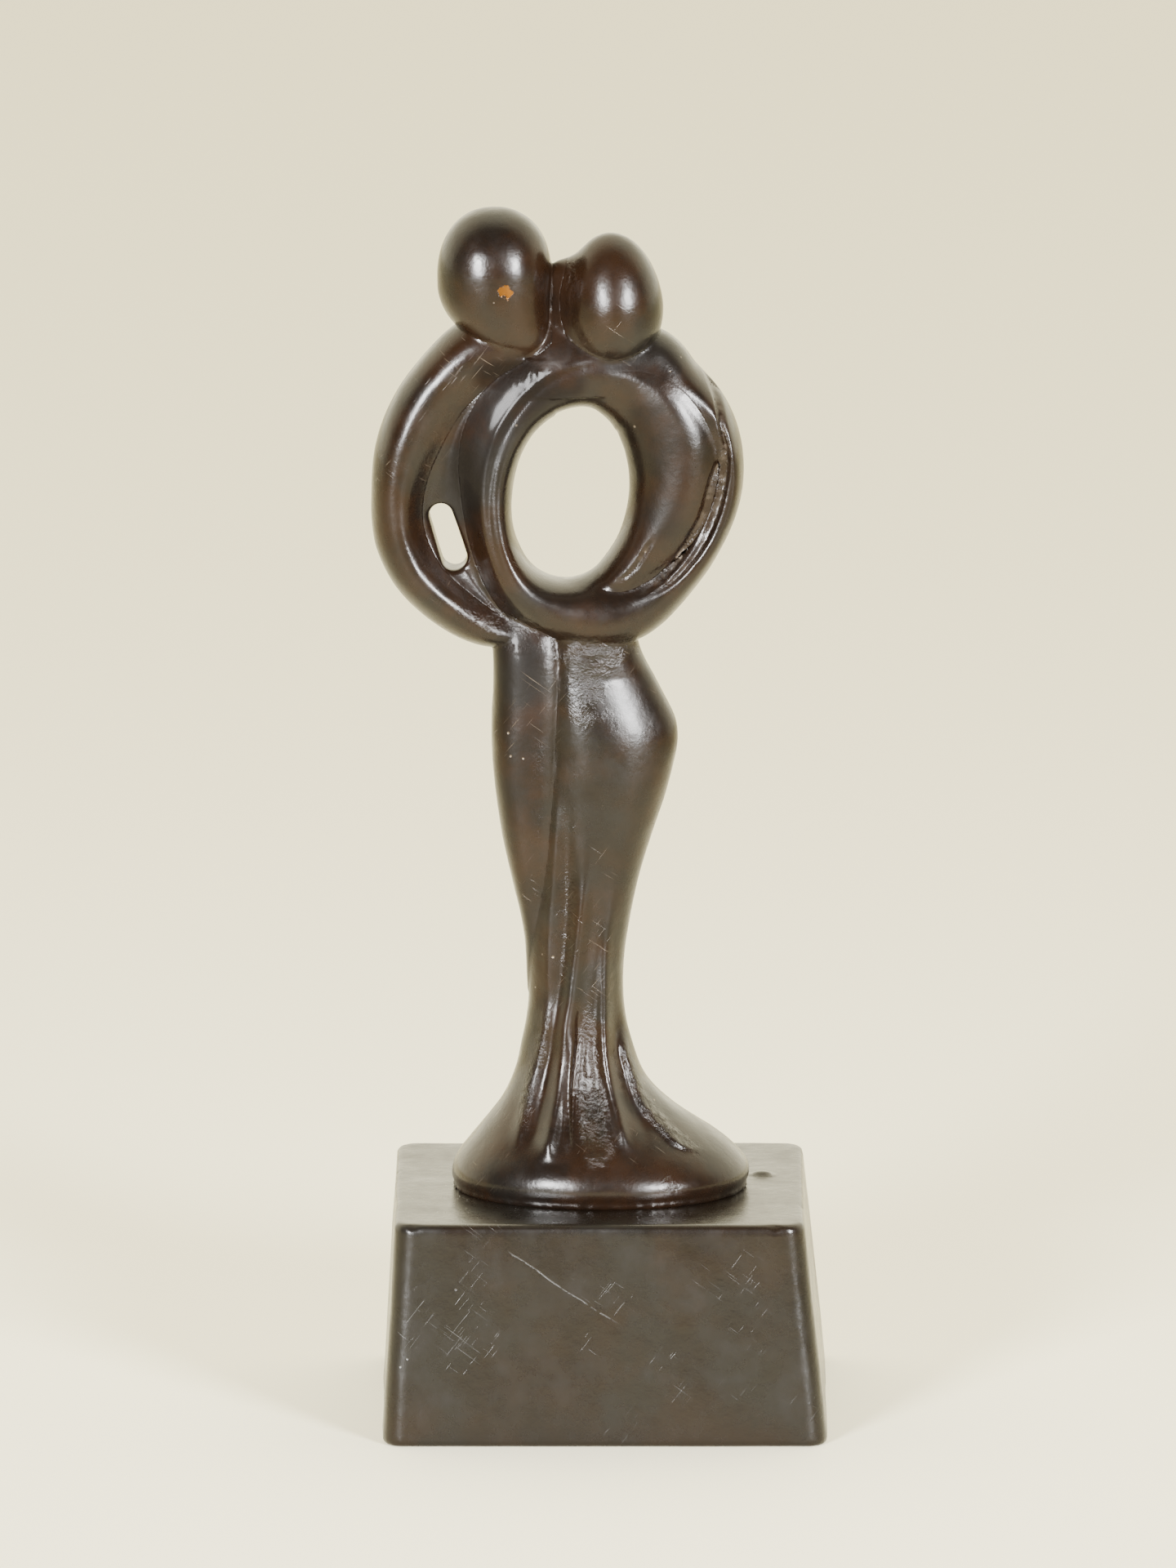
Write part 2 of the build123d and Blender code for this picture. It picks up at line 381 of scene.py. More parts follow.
# The flat that the hip was filed to: a place on it, and the way it faces. It turns away from the
# figure above the waist.
HIP_PLACE, HIP_FACING = np.array([12.0, -9.3, 178.0]), np.array([0.288, -0.924, 0.250])
HIP_TOP, HIP_TURN, HIP_SOFTNESS = 184, 0.35, 6.0
leg = Stack(
    [
        (104.0, -17.6, -16.4, 1.2),
        (111.0, -17.9, -14.0, 3.6),
        (117.0, -18.4, -12.0, 5.4),
        (127.0, -20.2, -10.4, 7.2),
        (137.0, -22.5, -9.4, 8.6),
        (147.5, -24.5, -8.4, 9.5),
        (158.0, -25.9, -7.6, 10.1),
        (168.0, -26.6, -7.2, 10.3),
        (178.0, -26.2, -7.0, 10.1),
        (188.0, -26.0, -7.0, 9.5),
        (194.0, -26.0, -8.0, 8.4),
        (200.0, -24.0, -10.0, 6.4),
        (205.0, -22.0, -13.0, 4.0),
    ],
    power=2.6,
)
body = Stack(
    [
        (PLINTH_TOP - 0.4, -35.0, 35.6, 27.2),
        (57.0, -35.9, 36.5, 28.0),
        (60.0, -35.9, 36.6, 28.1),
        (63.0, -34.6, 34.4, 27.0),
        (66.0, -32.4, 31.2, 25.0),
        (70.5, -28.8, 24.6, 21.6),
        (75.7, -24.6, 17.4, 18.0),
        (81.0, -21.8, 12.2, 15.2),
        (86.0, -20.2, 9.6, 13.4),
        (91.0, -19.2, 8.0, 12.3),
        (96.0, -18.2, 6.8, 11.6),
        (106.5, -17.4, 5.9, 10.7),
        (117.0, -17.8, 6.6, 10.3),
        (127.0, -17.6, 8.4, 10.5),
        (137.0, -17.0, 11.0, 11.0),
        (147.5, -16.2, 14.2, 11.8),
        (158.0, -15.4, 17.5, 12.4),
        (163.0, -15.0, 18.7, 12.7),
        (168.0, -14.7, 19.3, 12.9),
        (173.0, -14.4, 18.4, 12.8),
        (178.0, -14.0, 16.0, 12.3),
        (183.5, -13.6, 13.2, 11.6),
        (188.6, -13.2, 10.6, 10.8),
        (196.0, -12.8, 8.8, 9.8),
    ],
    power=2.15,
)

# The skirt's folds. Each is a line of height and place across, its height, negative for a groove,
# its width, and the heights between which it fades in from the top and out at the bottom.
FOLDS = [
    (
        [(196, -10.4), (160, -10.6), (140, -11.0), (128, -12.0), (112, -12.8)],
        0.4, 1.1, (165, 140), (112, 100),
    ),
    (
        [(160, -7.4), (131, -8.0), (108, -9.0), (96, -10.8)],
        -0.8, 1.7, (158, 138), (104, 96),
    ),
    (
        [
            (170, -2.8), (130, -4.0), (118, -5.4), (106, -7.0), (95, -8.5), (84, -9.7),
            (78, -10.6), (70, -12.6),
        ],
        1.6, 2.1, (150, 118), (71, 65),
    ),
    (
        [(98, -6.1), (92, -6.7), (84, -7.3), (76, -7.4), (66, -7.0)],
        0.8, 1.1, (98, 90), (72, 67),
    ),
    (
        [
            (104, -4.4), (101, -4.9), (93, -5.3), (86, -6.1), (80, -6.5), (72, -6.6),
            (66, -6.3),
        ],
        -1.0, 0.6, (104, 96), (72, 67),
    ),
    (
        [(118, -1.4), (100, -2.4), (88, -2.2), (76, -1.4), (66, -0.6)],
        -1.2, 2.6, (114, 92), (72, 66),
    ),
    (
        [
            (150, 5.0), (129, 3.2), (117, 1.7), (105, 1.2), (97, 1.2), (90, 1.5), (84, 2.5),
            (78, 4.2), (66, 7.4),
        ],
        1.4, 1.6, (135, 105), (74, 67),
    ),
    (
        [(104, 3.4), (92, 4.4), (86, 5.6), (79, 7.6), (72, 11.0)],
        -0.9, 1.7, (104, 92), (76, 68),
    ),
    (
        [
            (94, 5.0), (90, 6.2), (85, 8.0), (80, 9.8), (75.5, 13.0), (71.5, 17.0),
            (68.5, 20.6), (66, 26.0),
        ],
        0.9, 1.5, (96, 88), (70, 66),
    ),
    (
        [(104, -10.4), (93, -11.6), (84, -13.0), (76, -14.8), (68, -17.0)],
        -0.7, 1.8, (104, 92), (72, 66),
    ),
    (
        [(108, -12.4), (93, -13.9), (87, -15.6), (81, -17.4), (75, -18.8), (66, -21.0)],
        0.8, 1.7, (106, 96), (74, 66),
    ),
]
FOLD_LINES = [table(line) for line, *_ in FOLDS]
# How high the folds are behind, and the depths between which they rise to their full height
FOLDS_BEHIND = 0.6
FOLD_EDGE = 1.0, 6.0


def folds(p):
    """How far the folds stand out of the skirt, in front and, less high, behind."""
    rise = np.zeros(len(p))
    for line, (_, height, width, (top, full), (fade, low)) in zip(FOLD_LINES, FOLDS):
        shown = smooth_step(p[:, 2], low, fade) * (1 - smooth_step(p[:, 2], full, top))
        rise += shown * swell(p[:, 0], line(p[:, 2])[:, 0], height, width)
    front = smooth_step(-p[:, 1], *FOLD_EDGE)
    back = smooth_step(p[:, 1], *FOLD_EDGE)
    return rise * (front + FOLDS_BEHIND * back)


# The stretch of the ring's curve that has a channel, fading in and out, and the place across,
# the depth and the width of the channel and of the ridge beside it
CHANNEL_FROM, CHANNEL_TO = (14, 40), (74, 96)
CHANNEL, CHANNEL_RIDGE = (1.7, 0.30, 0.8), (3.4, 0.22, 0.9)


def ring_shape(p):
    """The ring, with a shallow channel along its left crest."""
    t, _, across, _ = ring.locate(p)
    shown = smooth_step(t, *CHANNEL_FROM) * (1 - smooth_step(t, *CHANNEL_TO))
    return ring(p) + shown * (swell(across, *CHANNEL) - swell(across, *CHANNEL_RIDGE))


def body_shape(p):
    """The skirted body with its folds, and its hip filed flatter below the waist."""
    flat = (p - HIP_PLACE) @ HIP_FACING - HIP_TURN * np.maximum(p[:, 2] - HIP_TOP, 0)
    return -join(folds(p) - body(p), -flat, HIP_SOFTNESS)


LIMBS = {
    "embrace_ring": ring_shape,
    "inner_band": inner_band,
    "bowed_back": bowed_back,
    "side_web": web_sheet,
    "left_head": left_head,
    "right_head": right_head,
    "head_bridge": bridge,
    "left_leg": leg,
    "skirted_body": body_shape,
}
# How softly each limb runs into those before it
FILLETS = {
    "embrace_ring": 1.0,
    "inner_band": 1.6,
    "bowed_back": 1.0,
    "side_web": 6.0,
    "left_head": 0.8,
    "right_head": 1.0,
    "head_bridge": 7.0,
    "left_leg": 0.5,
    "skirted_body": 0.8,
}
# The order in which the limbs are joined
ORDER = [
    "embrace_ring",
    "inner_band",
    "bowed_back",
    "side_web",
    "skirted_body",
    "left_leg",
    "right_head",
    "head_bridge",
    "left_head",
]
# Beyond its reach, a limb is taken to be far away.
FAR = 60.0
REACH = 9.0
REACHES = {
    name: [np.array(corner) / MM + reach for corner, reach in zip(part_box(name), (-REACH, REACH))]
    for name in ORDER
}


def limb_distances(p):
    """Each limb's distance, worked out only near that limb."""
    distances = {}
    for name in ORDER:
        low, high = REACHES[name]
        near = ((p > low) & (p < high)).all(1)
        distances[name] = np.full(len(p), FAR)
        if near.any():
            distances[name][near] = LIMBS[name](p[near])
    return distances


def figure(p, distances):
    """The whole figure's surface: its limbs run together, then the slot cut through the web."""
    whole = distances[ORDER[0]]
    for name in ORDER[1:]:
        whole = join(whole, distances[name], FILLETS[name])
    return carve(whole, slot(p), SLOT_RIM)


PLINTH_LOW, PLINTH_HIGH = (np.array(corner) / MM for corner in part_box("plinth"))
PLINTH_HALF_TOP = 50.0, 44.0
PLINTH_CORNER, PLINTH_EDGE, PLINTH_RIM = 5.0, 1.5, 0.6
PLINTH_WALL, PLINTH_ROOF = 6.0, 7.0
# How far the faces and the top waver, and over what distance
FACE_WAVE, FACE_WAVE_SIZE = 0.22, 17.0
TOP_WAVE, TOP_WAVE_SIZE = 0.1, 9.0
SCREW_PLACE, SCREW_HOLE = 18.0, 2.75
# Knocks on the plinth's top edges: place and radius
NICKS = [
    ((-45.6, -44.2, 55.3), 1.6),
    ((42.8, -44.4, 55.4), 1.8),
    ((-12.0, -44.8, 55.4), 1.2),
    ((50.6, -22.0, 55.2), 1.5),
    ((-50.8, 14.0, 55.2), 1.6),
    ((24.0, 44.6, 55.3), 1.4),
]
NICK_RIM = 0.5
# A spilt blob on the plinth's top: place, radii and fillet
BLOB_PLACE, BLOB_RADII, BLOB_FILLET = (40.0, 9.4, PLINTH_TOP), (2.4, 2.4 * 0.8, 0.9), 0.8


def rounded(gaps, radius):
    """Where all of some distances are inside, with the corners between them rounded."""
    gaps = np.stack(gaps, 1)
    corner = np.linalg.norm(np.maximum(gaps + radius, 0), axis=1) - radius
    return np.where((gaps < -radius).all(1), gaps.max(1), corner)


def plinth(p):
    """The hollow block under the figure, with splayed wavy sides, knocks and a spilt blob."""
    waved = p + FACE_WAVE * np.stack([noise(p + 9 * i, FACE_WAVE_SIZE) for i in range(3)], 1)
    height = np.clip(p[:, 2] / PLINTH_TOP, 0, 1)
    half_x, half_y = PLINTH_HALF_TOP
    right = half_x + (PLINTH_HIGH[0] - half_x) * (1 - height)
    left = half_x + (-PLINTH_LOW[0] - half_x) * (1 - height)
    depth = half_y + (PLINTH_HIGH[1] - half_y) * (1 - height)
    side = np.maximum(waved[:, 0] - right, -left - waved[:, 0])
    face = np.abs(waved[:, 1]) - depth
    dip = TOP_WAVE * (1 - noise(p, TOP_WAVE_SIZE))
    level = np.maximum(p[:, 2] - PLINTH_TOP + dip, -p[:, 2])
    wall = rounded([side, face], PLINTH_CORNER)
    block = rounded([wall, level], PLINTH_EDGE)
    block = join(block, oval_distance((p - BLOB_PLACE).T, BLOB_RADII), BLOB_FILLET)
    for place, radius in NICKS:
        block = carve(block, np.linalg.norm(p - place, axis=1) - radius, NICK_RIM)
    hollow = np.maximum(np.maximum(side, face) + PLINTH_WALL, p[:, 2] - PLINTH_TOP + PLINTH_ROOF)
    for x in (-SCREW_PLACE, SCREW_PLACE):
        hollow = np.minimum(hollow, np.hypot(p[:, 0] - x, p[:, 1]) - SCREW_HOLE)
    return carve(block, hollow, PLINTH_RIM)


# How far a limb runs on under its neighbours, and how steeply it sinks below them there
OVERLAP = 0.5
SINK = 0.2


def piece_field(name, p):
    """The plinth, or the figure's whole surface as far as this limb is the nearest one."""
    if name == "plinth":
        return plinth(p)
    distances = limb_distances(p)
    whole = figure(p, distances)
    others = np.min([d for other, d in distances.items() if other != name], axis=0)
    beyond = distances[name] - others
    return np.maximum(whole + SINK * np.maximum(beyond, 0), beyond - OVERLAP)


# ------------------------------------------------------------------------------------------------
# The marks of the hand: cuts and rough stretches in front, and an uneven surface all over

CORNERS = [(i, j, k) for i in (0, 1) for j in (0, 1) for k in (0, 1)]
LATTICE_SIZE = 32
LATTICE = np.random.default_rng(7).uniform(-1, 1, (LATTICE_SIZE,) * 3)


def noise(p, size):
    """Smooth random values between -1 and 1 that change over the given size."""
    cell = np.floor(p / size).astype(int)
    part = p / size - cell
    part = part * part * (3 - 2 * part)
    total = np.zeros(len(p))
    for corner in CORNERS:
        at = (cell + corner) % LATTICE_SIZE
        weight = np.where(corner, part, 1 - part).prod(1)
        total += LATTICE[at[:, 0], at[:, 1], at[:, 2]] * weight
    return total


class Stroke:
    """A mark along a line on the front: its stations are across, up, half width and strength."""

    SAMPLES = 90
    # A mark is looked for within this many of its half widths. Past that, it is this far off.
    REACH = 2.5
    BEYOND = 9.0

    def __init__(self, *stations):
        self.curve = Spline(stations)
        self.samples = self.curve.at(np.linspace(0, self.curve.length, self.SAMPLES))
        widest = self.samples[:, 2].max() * self.REACH
        self.low = self.samples[:, :2].min(0) - widest
        self.high = self.samples[:, :2].max(0) + widest

    def __call__(self, p):
        """Each point's distance from the line in half widths, and the strength there."""
        spot = p[:, [0, 2]]
        ratio, strength = np.full(len(p), self.BEYOND), np.zeros(len(p))
        near = ((spot > self.low) & (spot < self.high)).all(1) & (p[:, 1] < 0)
        if near.any():
            gaps = ((spot[near][:, None] - self.samples[:, :2]) ** 2).sum(-1)
            nearest = gaps.argmin(1)
            ratio[near] = np.sqrt(gaps.min(1)) / self.samples[nearest, 2]
            strength[near] = self.samples[nearest, 3]
        return ratio, strength


# Chisel cuts, whose strength is their depth
CUTS = [
    Stroke(
        (23.9, 263.2, 1.0, 0.1), (26.6, 258.6, 1.0, 0.3), (28.6, 254.4, 1.1, 0.7),
        (30.1, 247.6, 1.3, 1.1), (30.8, 241.4, 1.6, 1.4), (30.3, 235.0, 1.6, 1.4),
        (28.8, 227.4, 1.4, 1.2), (26.0, 220.2, 1.4, 1.1), (22.2, 214.0, 1.3, 0.9),
        (17.6, 209.0, 1.2, 0.6), (12.4, 205.4, 1.0, 0.1),
    ),
    Stroke(
        (30.4, 240.4, 1.1, 0.4), (27.9, 234.9, 1.4, 0.9), (25.4, 225.8, 1.4, 0.9),
        (22.8, 220.0, 1.3, 0.9), (18.4, 213.0, 1.3, 0.8), (13.6, 208.0, 1.1, 0.5),
        (9.6, 205.4, 1.0, 0.1),
    ),
    Stroke(
        (13.4, 220.0, 0.9, 0.1), (11.0, 216.2, 1.0, 0.6), (8.2, 211.6, 1.0, 0.6),
        (4.2, 208.6, 0.9, 0.1),
    ),
]
# Rough, hammered stretches
ROUGH = [
    Stroke(
        (-12.0, 192.4, 2.2, 0.8), (-6.0, 190.0, 3.2, 1.0), (2.0, 190.0, 3.0, 1.0),
        (8.4, 191.4, 1.6, 0.8),
    ),
    Stroke((-3.0, 190.0, 5.5, 0.9), (-3.2, 184.0, 5.0, 0.9), (-3.4, 177.0, 4.4, 0.6)),
    Stroke((-24.0, 192.0, 1.2, 0.4), (-14.0, 192.0, 1.6, 0.5)),
    Stroke((-14.8, 168.0, 1.2, 0.3), (-15.3, 154.0, 1.6, 0.6), (-15.6, 142.0, 1.4, 0.4)),
    Stroke((-7.6, 152.0, 1.8, 0.3), (-8.0, 130.0, 2.0, 0.45), (-8.2, 110.0, 1.8, 0.3)),
    Stroke(
        (-2.8, 102.0, 1.8, 0.6), (-2.6, 88.0, 2.6, 1.2), (-1.6, 76.0, 3.8, 1.5),
        (-0.4, 69.0, 4.6, 1.2),
    ),
    Stroke(
        (5.6, 92.0, 1.0, 0.5), (9.8, 80.0, 1.3, 1.2), (16.4, 72.0, 1.6, 1.2),
        (24.0, 67.0, 1.2, 0.4),
    ),
    Stroke(
        (-12.8, 102.0, 1.0, 0.6), (-14.6, 90.0, 1.6, 1.1), (-17.6, 80.0, 1.5, 1.0),
        (-19.0, 73.0, 1.6, 0.5),
    ),
    Stroke((-24.0, 262.0, 2.2, 0.2), (-15.0, 259.0, 4.0, 0.3), (-7.0, 258.4, 3.2, 0.2)),
    Stroke((-6.8, 286.4, 1.4, 0.8), (-6.8, 281.0, 1.6, 1.0), (-7.0, 275.0, 1.2, 0.3)),
    Stroke((-34.0, 202.6, 2.6, 0.3), (-26.0, 198.0, 2.8, 1.0), (-15.6, 196.4, 2.2, 0.8)),
    Stroke((7.0, 209.0, 2.6, 0.5), (15.0, 212.4, 2.6, 0.5)),
    Stroke(
        (29.8, 248.0, 1.2, 0.2), (29.6, 238.0, 2.2, 0.4), (25.0, 224.0, 2.2, 0.35),
        (16.0, 210.0, 2.2, 0.2),
    ),
    Stroke((16.6, 61.6, 1.4, 0.8), (18.2, 59.6, 1.4, 0.8)),
]
# Dull stretches that were never polished
DULL = [
    Stroke((-26.0, 260.0, 5.0, 0.9), (-17.0, 258.6, 6.5, 1.0), (-7.0, 258.4, 4.0, 0.8)),
    Stroke(
        (-14.0, 258.0, 5.4, 0.9), (-25.0, 250.0, 6.6, 0.9), (-32.0, 238.0, 6.0, 0.9),
        (-33.0, 224.0, 4.0, 0.6),
    ),
    Stroke((-20.0, 190.0, 6.0, 0.8), (-19.0, 176.0, 6.5, 0.6), (-18.0, 150.0, 5.0, 0.3)),
    Stroke((-10.0, 284.0, 3.0, 1.0), (-10.0, 266.0, 3.0, 0.8)),
    Stroke((12.0, 250.0, 5.0, 0.5), (18.0, 238.0, 5.0, 0.5), (14.0, 224.0, 5.0, 0.4)),
]
# A stretch fades between these many half widths from its line.
STROKE_EDGE = 0.5, 1.35
# How much the edges of the cuts waver, and over what distance
CUT_WAVER, CUT_WAVER_SIZE = 0.10, 3.4
# The middle, the swing, the size and the limits of the patchiness of rough stretches
PATCH_MIDDLE, PATCH_SWING, PATCH_SIZE = 0.75, 0.6, 3.0
PATCH_LIMITS = 0.15, 1.5


def strongest(strokes, p):
    """The strength of the strongest of some strokes at each point, faded at its edges."""
    most = np.zeros(len(p))
    for stroke in strokes:
        ratio, strength = stroke(p)
        most = np.maximum(most, strength * (1 - smooth_step(ratio, *STROKE_EDGE)))
    return most


def cut_depth(p):
    """How deep the chisel cuts are, their edges wavering."""
    depth = np.zeros(len(p))
    ragged = 1 + CUT_WAVER * noise(p, CUT_WAVER_SIZE)
    for cut in CUTS:
        ratio, strength = cut(p)
        depth = np.maximum(depth, strength * (1 - smooth_step(ratio * ragged, 0, 1)))
    return depth


def roughness_at(p):
    """How rough the surface is, 0 where it was polished."""
    patches = PATCH_MIDDLE + PATCH_SWING * noise(p, PATCH_SIZE)
    return strongest(ROUGH, p) * np.clip(patches, *PATCH_LIMITS)


# The height of each kind of unevenness, and the distance over which it changes
BROAD_WAVE, SMALL_WAVE = (0.13, 11.0), (0.06, 4.5)
HAMMER_MARK, HAMMER_GRIT = (0.26, 1.25), (0.12, 0.8)
# Hammer marks are drawn out upwards.
DRAWN_OUT = 1, 1, 0.8
# The lumpy line of solder around the foot, and the groove above it: place up, height and width
SOLDER_LINE, SOLDER_LUMPS = (PLINTH_TOP + 0.5, 0.25, 0.5), 1.3
FOOT_GROOVE = PLINTH_TOP + 1.5, 0.12, 0.5


def uneven(p, kind, start=0):
    """Noise of the given height and size. Uses that start elsewhere don't repeat each other."""
    height, size = kind
    return height * noise(p + start, size)


def relief(p):
    """How far the marks stand out of the smooth figure."""
    waves = uneven(p, BROAD_WAVE) + uneven(p, SMALL_WAVE, 50)
    hammered = np.abs(uneven(p * DRAWN_OUT, HAMMER_MARK, 20)) + uneven(p, HAMMER_GRIT, 70)
    solder = swell(p[:, 2], *SOLDER_LINE) * (1 + noise(p, SOLDER_LUMPS))
    groove = swell(p[:, 2], *FOOT_GROOVE)
    return waves + roughness_at(p) * hammered - cut_depth(p) + solder - groove


# ------------------------------------------------------------------------------------------------
# From fields to meshes

# The twelve edges of a cell, as pairs of its corners
EDGES = [
    (a, b)
    for a in CORNERS
    for b in CORNERS
    if a < b and sum(abs(x - y) for x, y in zip(a, b)) == 1
]


def surface_net(values, low, step):
    """A closed mesh of quads where a grid of values passes zero. Its faces turn inwards."""
    shape = tuple(n - 1 for n in values.shape)
    inside = values < 0

    def corner(grid, c):
        return grid[tuple(slice(o, o + n) for o, n in zip(c, shape))]

    total = np.zeros(shape + (3,))
    count = np.zeros(shape, int)
    for a, b in EDGES:
        crossed = corner(inside, a) != corner(inside, b)
        va, vb = corner(values, a)[crossed], corner(values, b)[crossed]
        share = (va / (va - vb))[:, None]
        total[crossed] += np.array(a) * (1 - share) + np.array(b) * share
        count[crossed] += 1
    cells = count > 0
    index = np.full(shape, -1)
    index[cells] = np.arange(cells.sum())
    verts = (total[cells] / count[cells][:, None] + np.argwhere(cells)) * step + low
    quads = []
    for axis in range(3):
        u, v = [a for a in range(3) if a != axis]
        size = list(values.shape)
        size[axis] -= 1
        first = [slice(0, n) for n in size]
        second = list(first)
        second[axis] = slice(1, None)
        starts = inside[tuple(first)]
        ends = inside[tuple(second)]
        at = np.argwhere(starts != ends)
        du, dv = np.eye(3, dtype=int)[u], np.eye(3, dtype=int)[v]
        cells_around = [at, at - du, at - du - dv, at - dv]
        quad = np.stack([index[tuple(cell.T)] for cell in cells_around], 1)
        flip = starts[tuple(at.T)] == (axis != 1)
        quad[flip] = quad[flip][:, ::-1]
        quads.append(quad)
    return verts, np.concatenate(quads)


# The grid is worked out in blocks of this many cells a side, past each piece's CAD box by a margin.
BLOCK = 4
MARGIN = 5.0
# The larger pieces have coarser grids.
COARSER = {"skirted_body": 1.15, "plinth": 1.9}
# Fields are not true distances, so a block is worked out from a little further off.
BLOCK_REACH, BLOCK_SLACK = 1.1, 0.6
SETTLING_STEPS, LONGEST_SETTLING, LEAST_STEEP = 2, 0.5, 0.2
CREASE_STEPS = 4
CHUNK = 60000
# The corners of a tetrahedron, from which a slope is worked out
TETRA = np.array([(1, -1, -1), (-1, -1, 1), (-1, 1, -1), (1, 1, 1)], float)


def gradient(field, p, reach=0.04):
    """A field's value and slope at each point."""
    values = [field(p + corner * reach) for corner in TETRA]
    slope = sum(v[:, None] * corner for v, corner in zip(values, TETRA)) / (4 * reach)
    return sum(values) / 4, slope


def in_chunks(field, p):
    """A field's values, worked out a chunk at a time to save memory."""
    return np.concatenate([field(p[i : i + CHUNK]) for i in range(0, len(p), CHUNK)])


def sculpt(name):
    """The mesh of one piece, its points settled on the true surface, with the marks of the hand."""
    step = VOXEL * COARSER.get(name, 1)
    low, high = (np.array(corner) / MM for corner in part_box(name))
    low = low - MARGIN
    blocks = np.ceil((high + MARGIN - low) / (BLOCK * step)).astype(int)
    corners = np.stack(np.meshgrid(*map(np.arange, blocks), indexing="ij"), -1).reshape(-1, 3)

    def field(p):
        return in_chunks(lambda chunk: piece_field(name, chunk), p)

    middles = field(low + (corners + 0.5) * BLOCK * step)
    # Only the blocks that the surface may pass through are worked out in full.
    crossed = np.abs(middles) < BLOCK * step * BLOCK_REACH + BLOCK_SLACK
    values = np.repeat(np.sign(middles), BLOCK**3).reshape(*blocks, BLOCK, BLOCK, BLOCK)
    steps = np.stack(np.meshgrid(*[np.arange(BLOCK)] * 3, indexing="ij"), -1).reshape(1, -1, 3)
    points = (corners[crossed][:, None] * BLOCK + steps).reshape(-1, 3)
    fine = field(low + points * step).reshape(-1, BLOCK, BLOCK, BLOCK)
    values[tuple(corners[crossed].T)] = fine
    values = values.transpose(0, 3, 1, 4, 2, 5).reshape(blocks * BLOCK)
    # The grid's own faces count as outside, so the mesh closes within it.
    values[[0, -1]] = values[:, [0, -1]] = values[:, :, [0, -1]] = step
    verts, quads = surface_net(values, low, step)
    limit = LONGEST_SETTLING * step
    for _ in range(SETTLING_STEPS):
        value, slope = gradient(field, verts)
        steep = np.maximum((slope * slope).sum(1), LEAST_STEEP)
        verts = verts - slope * np.clip(value / steep, -limit, limit)[:, None]
    slope /= np.linalg.norm(slope, axis=1)[:, None] + 1e-9
    if name != "plinth":
        verts = verts + slope * relief(verts)[:, None]
    return verts, quads


def around(values, quads):
    """Each point's mean over its neighbours."""
    starts, ends = quads.ravel(), np.roll(quads, -1, axis=1).ravel()
    count = np.bincount(starts, minlength=len(values)) + np.bincount(ends, minlength=len(values))
    columns = []
    for column in values.reshape(len(values), -1).T:
        total = np.bincount(starts, column[ends], len(values))
        columns.append(total + np.bincount(ends, column[starts], len(values)))
    return (np.stack(columns, 1) / np.maximum(count, 1)[:, None]).reshape(values.shape)


def crease(verts, quads, normals):
    """How sharply the surface bends, averaged over its surroundings.

    The normals turn inwards, so hollows and creases are positive and crests are negative.
    """
    pull = around(verts, quads) - verts
    gap = np.linalg.norm(np.diff(verts[quads[:, :2]], axis=1), axis=2).mean()
    bend = -(pull * normals).sum(1) / gap**2
    for _ in range(CREASE_STEPS):
        bend = around(bend, quads)
    return bend


def add_mesh(name, verts, faces):
    """A smooth object from points in millimetres, with the marks that its material reads."""
    mesh = bpy.data.meshes.new(name)
    mesh.from_pydata((verts * MM).tolist(), [], faces.tolist())
    mesh.shade_smooth()
    normals = np.zeros(len(verts) * 3)
    mesh.vertex_normals.foreach_get("vector", normals)
    marks = {
        "rough": roughness_at(verts),
        "dull": strongest(DULL, verts),
        "cut": cut_depth(verts),
        "crease": crease(verts, faces, normals.reshape(-1, 3)),
    }
    for mark, values in marks.items():
        attribute = mesh.attributes.new(mark, "FLOAT", "POINT")
        attribute.data.foreach_set("value", values.astype(np.float32))
    piece = bpy.data.objects.new(name, mesh)
    bpy.context.collection.objects.link(piece)
    return piece


# ------------------------------------------------------------------------------------------------
# Materials


def add(tree, kind, inputs=(), output=0, **settings):
    """A shader node with the given settings, its inputs set to values or joined to sockets."""
    made = tree.nodes.new("ShaderNode" + kind)
    for key, value in settings.items():
        setattr(made, key, value)
    for key, value in dict(inputs).items():
        if isinstance(value, bpy.types.NodeSocket):
            tree.links.new(value, made.inputs[key])
        else:
            made.inputs[key].default_value = value
    return made.outputs[output]


def calc(tree, operation, a, b=0.0):
    """One sum on two values or sockets."""
    return add(tree, "Math", {0: a, 1: b}, operation=operation)


def between(tree, value, low, high):
    """How far a value is from low to high, from 0 to 1, eased at both ends."""
    inputs = {"Value": value, "From Min": low, "From Max": high}
    return add(tree, "MapRange", inputs, interpolation_type="SMOOTHSTEP")


def blend(tree, share, a, b):
    """Colour a turning into colour b."""
    return add(tree, "Mix", {0: share, 6: a, 7: b}, output=2, data_type="RGBA")


def grain(tree, place, scale, detail=3.0, roughness=0.55):
    """Soft noise from 0 to 1; the scale is in grains per metre."""
    inputs = {"Vector": place, "Scale": scale, "Detail": detail, "Roughness": roughness}
    return add(tree, "TexNoise", inputs)


def hairlines(tree, place, turn, size):
    """Fine straight scratches, leaning by turn."""
    mapping = {"Vector": place, "Rotation": (0, radians(turn), 0), "Scale": size}
    along = add(tree, "Mapping", mapping, vector_type="TEXTURE")
    return between(tree, grain(tree, along, 1.0, 1.0), 0.70, 0.78)


def mark(tree, name):
    """What the mesh says of its own shape at each point."""
    return add(tree, "Attribute", output=2, attribute_name=name)


def bump(tree, height, strength, distance, under=None):
    """Normals that follow a height, over those already there."""
    inputs = {"Height": height, "Strength": strength, "Distance": distance}
    if under is not None:
        inputs["Normal"] = under
    return add(tree, "Bump", inputs)


